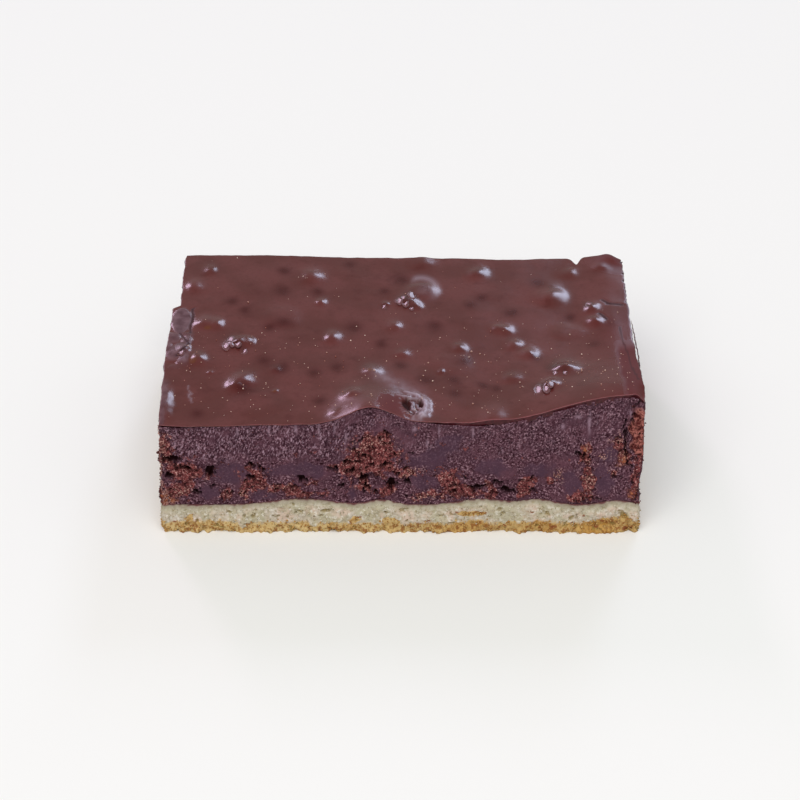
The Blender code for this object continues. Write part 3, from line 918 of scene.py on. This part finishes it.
def glaze_top(x, y):
    """Height of the plain glaze, what stands up from it, and its traits: an even coat that rounds over
    each lump, settles in shallow waves, and is torn along the left edge."""
    points = on_plan(x, y)
    x, y = points[:, 0], points[:, 1]
    bend_x = x + 0.5 * cloud(points, 5, 86)
    bend_y = y + 0.5 * cloud(points, 5, 87)
    waves = 0.08 * cloud(points, 10, 80) + 0.03 * cloud(points, 4.5, 81)
    stands = lump_height(bend_x, bend_y) + blister_height(bend_x, bend_y) + waves

    # The left edge: a loose flake, torn flaps behind it and a swell in front of it.
    left = x + RIGHT
    flake = ramp(oval(bend_x, y, *FLAKE), 1.1, 0.9)
    torn = ramp(left + 0.9 * cloud(points, 2.5, 88), 5.4, 4.2)
    torn = torn * ramp(y + 2 * cloud(points, 3, 89), -15, -9) * ramp(y, 1.8, 0.2)
    flaps = domes(points * [0.8, 0.5, 1], 2.2, 83) - 0.45
    rim = 0.15 * flake + torn * (0.45 * flaps + 0.1)
    swell = 0.68 * ramp(left + 0.4 * cloud(points, 3.0, 106), 3.2, 0.6) * bell(y + 26.5, 6)
    edge_tone = 0.7 * ramp(left + 0.5 * cloud(points, 2.0, 105), 1.6, 0.5) * ramp(y, -16, -21)

    # Lines, the crater, and the thin film between it and the nearest bare spot; the film is partly
    # painted sheen.
    seams = sum(line(bend_x, y, *seam) for seam in SEAMS)
    fold = sum(line(bend_x, y, *part) for part in FOLDS)
    scratch = line(x + 0.6 * cloud(points, 1.4, 101), y, *SCRATCH)
    film_and_sheen = line(bend_x, y, *FILM) * (0.7 + 0.6 * clouds(points * [1, 0.5, 1], 1.6, 2, 102))
    streak = line(x, y, *STREAK)
    burst, opening, film_and_highlight, bowl = crater(x, y, points)
    # A painted highlight along the upper right of the mauve blister.
    arc = bell(np.hypot(x - 4.4, (y - 20.4) * 0.6) - 3.5, 0.75)
    arc = 0.32 * arc * ramp(x, 1.6, 3.4) * ramp(y, 14, 23)

    # Where the top is matt or shaded: the mound, the back corner, and the right edge's strip.
    mound, slope, back_corner = (patches(x, y, [place]) for place in (MOUND, MOUND_SLOPE, BACK_CORNER))
    slope = slope * (1 - ramp(streak, 0.25, 0.6))
    strip = ramp(bend_x, 36, 47) * ramp(y, 14, 2)
    corner = ramp(bend_x, 45, 46.6) * ramp(bend_y, -2, -9)
    # The holes, seams and folds are painted dark, partly their own dark and partly painted shade; the
    # crater's bowl and the coat round the beads are darkened as painted shade.
    dark = opening + 0.9 * ramp(seams, 0.2, 0.9) + 0.6 * ramp(fold, 0.3, 0.8)
    dull = ramp(mound + 0.2 * cloud(points, 1.2, 104), 0.3, 0.4) + 0.5 * slope
    bead_shade = held(patches(x, y, [(*place, 1.6 * reach, 2.6 * reach) for *place, reach, fall in BEADS]))
    spot = sum(bell(np.hypot(bend_x - a, (bend_y - b) * 0.8), reach) for a, b, reach in DARK_SPOTS)
    mauve = flake + torn * (0.4 + flaps) + edge_tone + 0.5 * patches(x, y, [MAUVE_BLISTER])
    traits = {
        "mauve": held(mauve),
        "hole_and_shade": held(dark + 0.45 * bowl * (1 - film_and_highlight) + 0.5 * bead_shade),
        "matt": held(dull + corner + back_corner + dark),
        "shade": held(0.6 * strip + 0.7 * mound + 0.5 * back_corner),
        "bare": ramp(patches(bend_x, bend_y, BARE_SPOTS), 0.3, 0.7),
        "spot": held(spot),
        "film_and_highlight": held(film_and_highlight + 0.3 * scratch + 0.25 * film_and_sheen + arc),
    }
    relief = stands + rim + swell + burst - 0.06 * seams + 0.08 * scratch
    return filling_top(x, y) + GAP + GLAZE_THICKNESS, relief, traits


def grid_faces(columns, rows):
    """Quads of a grid of points numbered row by row from the front left, facing up."""
    start = np.arange(rows - 1)[:, None] * columns + np.arange(columns - 1)
    return np.stack([start, start + 1, start + columns + 1, start + columns], -1).reshape(-1, 4)


def glaze_sheet():
    """The glaze's top as a grid of points with its traits: its edges wander, its back edge is
    notched, and its right edge is nibbled towards the back."""
    u, v = np.meshgrid(np.linspace(-1, 1, GLAZE_COLUMNS), np.linspace(-1, 1, GLAZE_ROWS))
    x = u * (RIGHT - 0.25 * v**24)
    y = v * (DEPTH / 2 - 0.25 * u**24)
    coat, relief, traits = glaze_top(x, y)
    plan = on_plan(x, y)
    notch = 3.0 * bell(x - NOTCH_X - 0.3 * (y + FRONT), 1.0) * ramp(v, 0.84, 1)
    nibbles = clouds(plan, 1.9, 2, 84).reshape(x.shape)
    teeth = 0.75 * held(nibbles + 0.2) * ramp(y, 11, 14) * ramp(u, 0.95, 1)
    wander = 0.22 * clouds(plan, 4.5, 3, 85).reshape(x.shape)
    points = settled(x, y, coat.reshape(x.shape))
    points[..., 2] += relief.reshape(x.shape)
    points[..., 1] += wander * ramp(np.abs(v), 0.97, 1) - notch
    points[..., 0] -= teeth + wander * ramp(np.abs(u), 0.97, 1)
    return points, traits


def glaze_edge(edge):
    """Rings below the sheet's edge: quarter circles round it, then the cut face, then three rings
    drawn in underneath."""
    way = np.roll(edge, -2, 0) - np.roll(edge, 2, 0)
    outward = np.stack([way[:, 1], -way[:, 0], 0 * way[:, 0]], -1)
    outward /= np.linalg.norm(outward, axis=-1, keepdims=True)
    down = np.array([0, 0, -1])
    angles = np.linspace(0, math.pi / 2, 5)[1:]
    rolled = [edge + GLAZE_EDGE_RADIUS * (np.sin(a) * outward + (1 - np.cos(a)) * down) for a in angles]
    rough = 0.16 * clouds(rolled[-1] * [1, 1, 0.5], 0.9, 2, 94)[:, None]
    under_smear = 0.5 * ramp(edge[:, 0], 12, 4)[:, None] * ramp(edge[:, 1], -30, -33)[:, None]
    steps = ((0.3, 0.0), (0.6, 0.02), (0.9, 0.04), (1.1, 0.08), (1.25, 0.5))
    face = [rolled[-1] + drop * down + (rough - inset - under_smear) * outward for drop, inset in steps]
    under = [face[-1] * [part, part, 1] for part in (0.97, 0.85, 0.5)]
    for ring in under:
        ring[:, 2] = filling_top(ring[:, 0], ring[:, 1]) + 0.05
    return np.stack(rolled + face + under)


def chocolate_glaze(material):
    """The glaze as one closed skin: a grid over the top, rings that round over its edge, and rings
    drawn in underneath."""
    sheet, traits = glaze_sheet()
    top = sheet.reshape(-1, 3)
    index = np.arange(len(top)).reshape(GLAZE_ROWS, GLAZE_COLUMNS)
    rim = np.concatenate([index[0, :-1], index[:-1, -1], index[-1, :0:-1], index[:0:-1, 0]])
    around = len(rim)
    edge = top[rim]
    rings = glaze_edge(edge)
    points = np.concatenate([top, rings.reshape(-1, 3), [[0, 0, FILLING_TOP]]])
    here = np.arange(around)
    there = np.roll(here, -1)
    loops = [rim] + [len(top) + around * turn + here for turn in range(len(rings))]
    faces = grid_faces(GLAZE_COLUMNS, GLAZE_ROWS).tolist()
    for upper, lower in zip(loops, loops[1:]):
        faces += np.stack([upper, lower, lower[there], upper[there]], -1).tolist()
    foot = np.full(around, len(points) - 1)
    faces += np.stack([foot, loops[-1][there], loops[-1]], -1).tolist()

    # The cut edge's own traits: a painted highlight along the lip at the front, over the dark red of
    # the face, partly painted shade, which also darkens the rounding at the front right corner.
    rest = len(points) - len(top)
    traits = {name: np.concatenate([values, np.zeros(rest)]) for name, values in traits.items()}
    x, y = edge[:, 0], edge[:, 1]
    lit = (0.6 + 0.4 * ramp(x, 4, 14) + 0.8 * bell(x + 8.3, 1.6)) * ramp(y, -28, -30)
    lit = held(lit * (0.75 + 0.5 * clouds(edge, 3.0, 2, 99)))
    corner = 0.8 * ramp(x, 48, 48.6) * ramp(y, -34, -32)
    lip_highlight, cut = np.zeros(len(points)), np.zeros(len(points))
    lipped = slice(len(top), len(top) + 2 * around)
    lip_highlight[rim] = 0.5 * lit
    lip_highlight[lipped] = np.tile(lit, 2)
    cut[lipped] = np.tile(corner, 2)
    cut[lipped.stop :] = 1
    traits |= {"lip_highlight": lip_highlight, "face": cut}
    piece = mesh_piece("chocolate_glaze_coat", points, faces, material, traits)
    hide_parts("chocolate_glaze")
    return sheet


def glaze_beads(material):
    """Small beads of glaze that stand on the coat over clusters of crumb, long from front to back.
    Each has a flat top that leans to one side: (0.2 - fall * x) * exp(-r^8) in its own reaches."""
    around = 18
    away = np.array([1.35, 1.35, 1.15, 1.06, 0.98, 0.9, 0.8, 0.65, 0.35])[:, None]
    turn = np.arange(around) / around * 2 * math.pi
    along_x, along_y = away * np.cos(turn), 2.0 * away * np.sin(turn)
    across, along, reach, fall = np.array(BEADS).T
    coat, relief, traits = glaze_top(across, along)
    middle = np.stack([across, along, coat + relief], -1)
    beads = []
    for place, size, lean in zip(middle, reach, fall):
        rise = (0.2 - lean * along_x) * np.exp(-(away**8)) - 0.04
        rise[0] = -0.6
        beads.append(place + size * with_ends(np.stack([along_x, along_y, rise], -1)))
    faces = [
        [corner + number * len(beads[0]) for corner in face]
        for number in range(len(beads))
        for face in ring_faces(len(away), around)
    ]
    points = np.concatenate(beads)
    known = {name: np.zeros(len(points)) for name in (*traits, "lip_highlight", "face")}
    # The beads' tops carry a little painted highlight.
    known["film_and_highlight"] += 0.12
    piece = mesh_piece("glaze_beads", points, faces, material, known)


def glaze_sliver():
    """A thin sliver of glaze that has curled up along the right edge: a ragged tube along a bowed
    path, closed to a point at both ends."""
    rings, around = 160, 8
    t = np.linspace(0, 1, rings)[:, None]
    start, end = np.array(SLIVER_START), np.array(SLIVER_END)
    spine = start + (end - start) * t + np.array([1, 0, 0]) * SLIVER_BOW * np.sin(math.pi * t)
    spine = spine + 0.12 * np.stack([cloud(spine, 1.2, seed) for seed in (95, 96, 97)], -1)
    turn = np.arange(around) / around * 2 * math.pi
    ragged = 0.65 + 0.5 * np.abs(cloud(spine, 0.8, 98))[:, None]
    thick = SLIVER_RADIUS * np.sin(math.pi * np.clip(t, 0.01, 0.99)) ** 0.3 * ragged
    offset = np.stack([np.cos(turn) * thick, 0 * turn * thick, 1.6 * np.sin(turn) * thick], -1)
    points = with_ends((spine[:, None] + offset)[:, ::-1])
    piece = mesh_piece("glaze_sliver", points, ring_faces(rings, around), sliver_finish())


# ---------------------------------------------------------------- loose crumbs
def crumb_shape():
    """A rough little ball: two rings of six points between two poles, with its 24 faces."""
    turn = np.arange(6) * math.pi / 3
    ring = 0.9 * np.stack([np.cos(turn), np.sin(turn), 0 * turn], -1)
    points = np.concatenate([[[0, 0, -1]], ring + [0, 0, -0.42], ring + [0, 0, 0.42], [[0, 0, 1]]])
    here = np.arange(6)
    there = np.roll(here, -1)
    foot = np.stack([0 * here, there + 1, here + 1], -1)
    belt = np.stack([here + 1, there + 1, there + 7], -1)
    belt_too = np.stack([here + 1, there + 7, here + 7], -1)
    crown = np.stack([0 * here + 13, here + 7, there + 7], -1)
    return points, np.concatenate([foot, belt, belt_too, crown])


def turned(count, dice):
    """Random turns, as rotation matrices made from unit quaternions."""
    w, x, y, z = (q := dice.normal(size=(4, count))) / np.linalg.norm(q, axis=0)
    rows = [
        [1 - 2 * (y * y + z * z), 2 * (x * y - z * w), 2 * (x * z + y * w)],
        [2 * (x * y + z * w), 1 - 2 * (x * x + z * z), 2 * (y * z - x * w)],
        [2 * (x * z - y * w), 2 * (y * z + x * w), 1 - 2 * (x * x + y * y)],
    ]
    return np.moveaxis(np.array(rows), -1, 0)


def scattered(surface, outward, weight, count, sizes, sink, dice):
    """Places drawn at random from a surface's points by weight, a little proud of it, and sizes."""
    share = weight.reshape(-1) / weight.sum()
    picked = dice.choice(len(share), count, p=share)
    size = dice.uniform(*sizes, count) * dice.uniform(0.6, 1, count)
    jitter = dice.uniform(-0.12, 0.12, (count, 3))
    lift = outward.reshape(-1, 3)[picked] * (size * (1 - sink))[:, None]
    return surface.reshape(-1, 3)[picked] + lift + jitter, size


def loose_crumbs(name, places, sizes, material, seed):
    """Many rough crumbs as one mesh: the same ball for each, dented, flattened and turned at random,
    and set down at its place. Each crumb has a tone of its own."""
    dice = np.random.default_rng(seed)
    ball, faces = crumb_shape()
    count = len(places)
    dented = ball * dice.uniform(0.7, 1.25, (count, len(ball), 1))
    shape = dented * dice.uniform(0.6, 1.2, (count, 1, 3))
    points = np.einsum("nij,nkj->nki", turned(count, dice), shape)
    points = (points * sizes[:, None, None] + places[:, None]).reshape(-1, 3)
    faces = (faces + (np.arange(count) * len(ball))[:, None, None]).reshape(-1, 3).tolist()
    tone = np.repeat(dice.uniform(0, 1, count), len(ball))
    piece = mesh_piece(name, points, faces, material, {"tone": tone})


# ---------------------------------------------------------------- floor, light and camera
def pale_floor():
    """A plain pale square floor."""
    mesh = bpy.data.meshes.new("floor")
    corners = [(x * FLOOR_REACH, y * FLOOR_REACH, 0) for x, y in ((-1, -1), (1, -1), (1, 1), (-1, 1))]
    mesh.from_pydata(corners, [], [(0, 1, 2, 3)])
    material, surface, place = finish("pale_floor", 0.9, 0.0)
    surface.inputs["Base Color"].default_value = (0.9, 0.9, 0.9, 1)
    mesh.materials.append(material)
    floor = bpy.data.objects.new("floor", mesh)
    bpy.context.scene.collection.objects.link(floor)


def softbox(name, azimuth, elevation, size, power, tint, lean=0):
    """An area light that faces the slice, at an azimuth from +Y towards +X and an elevation. Its size
    is its width and height, and its top leans towards +X by an angle."""
    light = bpy.data.lights.new(name, "AREA")
    light.shape = "RECTANGLE"
    light.size, light.size_y = size
    light.energy = power
    light.color = tint
    azimuth, elevation = math.radians(azimuth), math.radians(elevation)
    flat = math.cos(elevation)
    way = Vector((math.sin(azimuth) * flat, math.cos(azimuth) * flat, math.sin(elevation)))
    place = LAMP_DISTANCE * way
    lamp = bpy.data.objects.new(name, light)
    lamp.location = place
    aim = (-place).to_track_quat("-Z", "Y").to_matrix()
    lamp.rotation_euler = (aim @ Matrix.Rotation(math.radians(lean), 3, "Z")).to_euler()
    lamp.visible_camera = False
    bpy.context.scene.collection.objects.link(lamp)


def studio():
    """Soft white light from all round and above, and two windows behind the slice that its lumps
    glint in."""
    world = bpy.data.worlds.new("studio")
    world.use_nodes = True
    background = world.node_tree.nodes["Background"]
    background.inputs["Color"].default_value = (0.98, 0.98, 0.96, 1)
    background.inputs["Strength"].default_value = 0.42
    bpy.context.scene.world = world
    softbox("overhead", 190, 55, (3.0, 3.0), 75, (1.0, 0.995, 0.94))
    softbox("window", 17, 27, (0.56, 1.1), 16, (0.68, 0.76, 1.0), 30)
    softbox("far_window", -24, 26, (0.36, 0.8), 11, (1.0, 0.74, 1.0), -30)
    bpy.context.scene.view_settings.view_transform = "Standard"


def camera():
    """A long lens a little above the slice, square to its cut front."""
    elevation = math.radians(CAMERA_ELEVATION)
    lens = bpy.data.cameras.new("camera")
    lens.lens = LENS_LENGTH
    lens.shift_y = LENS_SHIFT
    eye = bpy.data.objects.new("camera", lens)
    away = Vector((0, -math.cos(elevation), math.sin(elevation)))
    eye.location = Vector(CAMERA_AIM) + CAMERA_DISTANCE * away
    eye.rotation_euler = (math.radians(90) - elevation, 0, 0)
    bpy.context.scene.collection.objects.link(eye)
    bpy.context.scene.camera = eye


camera()
studio()
pale_floor()
dice = np.random.default_rng(5)

base_wall, base_outward, baked = shortcrust_base()
filling_wall, filling_outward, spongy, paler = crumb_filling()
glaze_look = glaze_finish()
glaze_grid = chocolate_glaze(glaze_look)
glaze_beads(glaze_look)
glaze_sliver()

# Each kind of crumb is drawn with a weight for each point of a surface, a number of crumbs, their
# least and greatest radius and how far they are sunk.
spongy = spongy * np.where(filling_outward[..., 1] < -0.9, 1.0, 3.0)
places, sizes = scattered(filling_wall, filling_outward, spongy, 7500, (0.07, 0.26), 0.6, dice)
sponge_look = crumb_finish("sponge_crumb", (60, 20, 26), (130, 74, 74))
loose_crumbs("sponge_crumbs", places, sizes, sponge_look, 6)

places, sizes = scattered(filling_wall, filling_outward, paler**2, 800, (0.07, 0.18), 0.5, dice)
pale_look = crumb_finish("pale_crumb", (150, 98, 90), (208, 168, 158))
loose_crumbs("pale_crumbs", places, sizes, pale_look, 7)

base_wall, base_outward, baked = base_wall[2:], base_outward[2:], baked[2:]
places, sizes = scattered(base_wall, base_outward, baked, 2500, (0.10, 0.32), 0.6, dice)
golden_look = crumb_finish("golden_crumb", (156, 108, 52), (208, 176, 116))
loose_crumbs("golden_crumbs", places, sizes, golden_look, 8)

base_wall, base_outward, baked = base_wall[:-6], base_outward[:-6], baked[:-6]
places, sizes = scattered(base_wall, base_outward, 1 - baked, 2500, (0.08, 0.24), 0.6, dice)
pastry_look = crumb_finish("pastry_crumb", (164, 150, 122), (214, 206, 190))
loose_crumbs("pastry_crumbs", places, sizes, pastry_look, 9)

# The glaze's specks are painted pale, partly their own colour and partly painted glints.
inner = glaze_grid[4:-4, 6:-6]
upwards = np.broadcast_to([0.0, 0.0, 1.0], inner.shape)
towards_front = 0.15 + ramp(-inner[..., 1], -12, 8)
places, sizes = scattered(inner, upwards, towards_front, 420, (0.09, 0.2), 0.8, dice)
speck_and_glint_look = crumb_finish("speck_and_glint", (160, 96, 84), (250, 226, 214), 0.5)
loose_crumbs("glaze_specks", places, sizes, speck_and_glint_look, 10)
